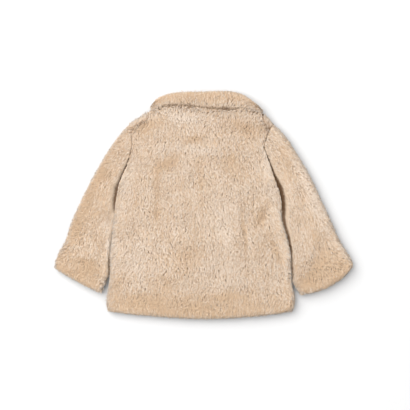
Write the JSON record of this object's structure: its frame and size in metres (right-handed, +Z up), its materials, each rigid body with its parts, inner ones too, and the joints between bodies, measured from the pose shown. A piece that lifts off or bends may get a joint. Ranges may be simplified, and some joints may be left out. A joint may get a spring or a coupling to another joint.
{
  "type": "faux fur coat",
  "caption": "Toddler's short faux fur coat with a plain back, set-in sleeves and a soft stand-up fur collar, laid flat on its front with its back up.",
  "frame": {"origin": "centre of the coat's box, on the surface that it lies on", "axes": "+X across the coat from the wearer's left cuff to the right one, +Y from hem to collar, +Z up out of the surface"},
  "size_m": [0.5511, 0.4211, 0.031],
  "materials": {
    "fur_body": "cream beige plush pile, tan at its roots",
    "fur_sleeves": "cream beige plush pile, tan at its roots",
    "fur_collar": "cream beige plush pile, tan at its roots"
  },
  "bodies": {
    "root": {"back": "fur_body", "front_left": "fur_body", "front_right": "fur_body", "sleeve_left": "fur_sleeves", "sleeve_right": "fur_sleeves", "collar": "fur_collar"}
  },
  "joints": []
}
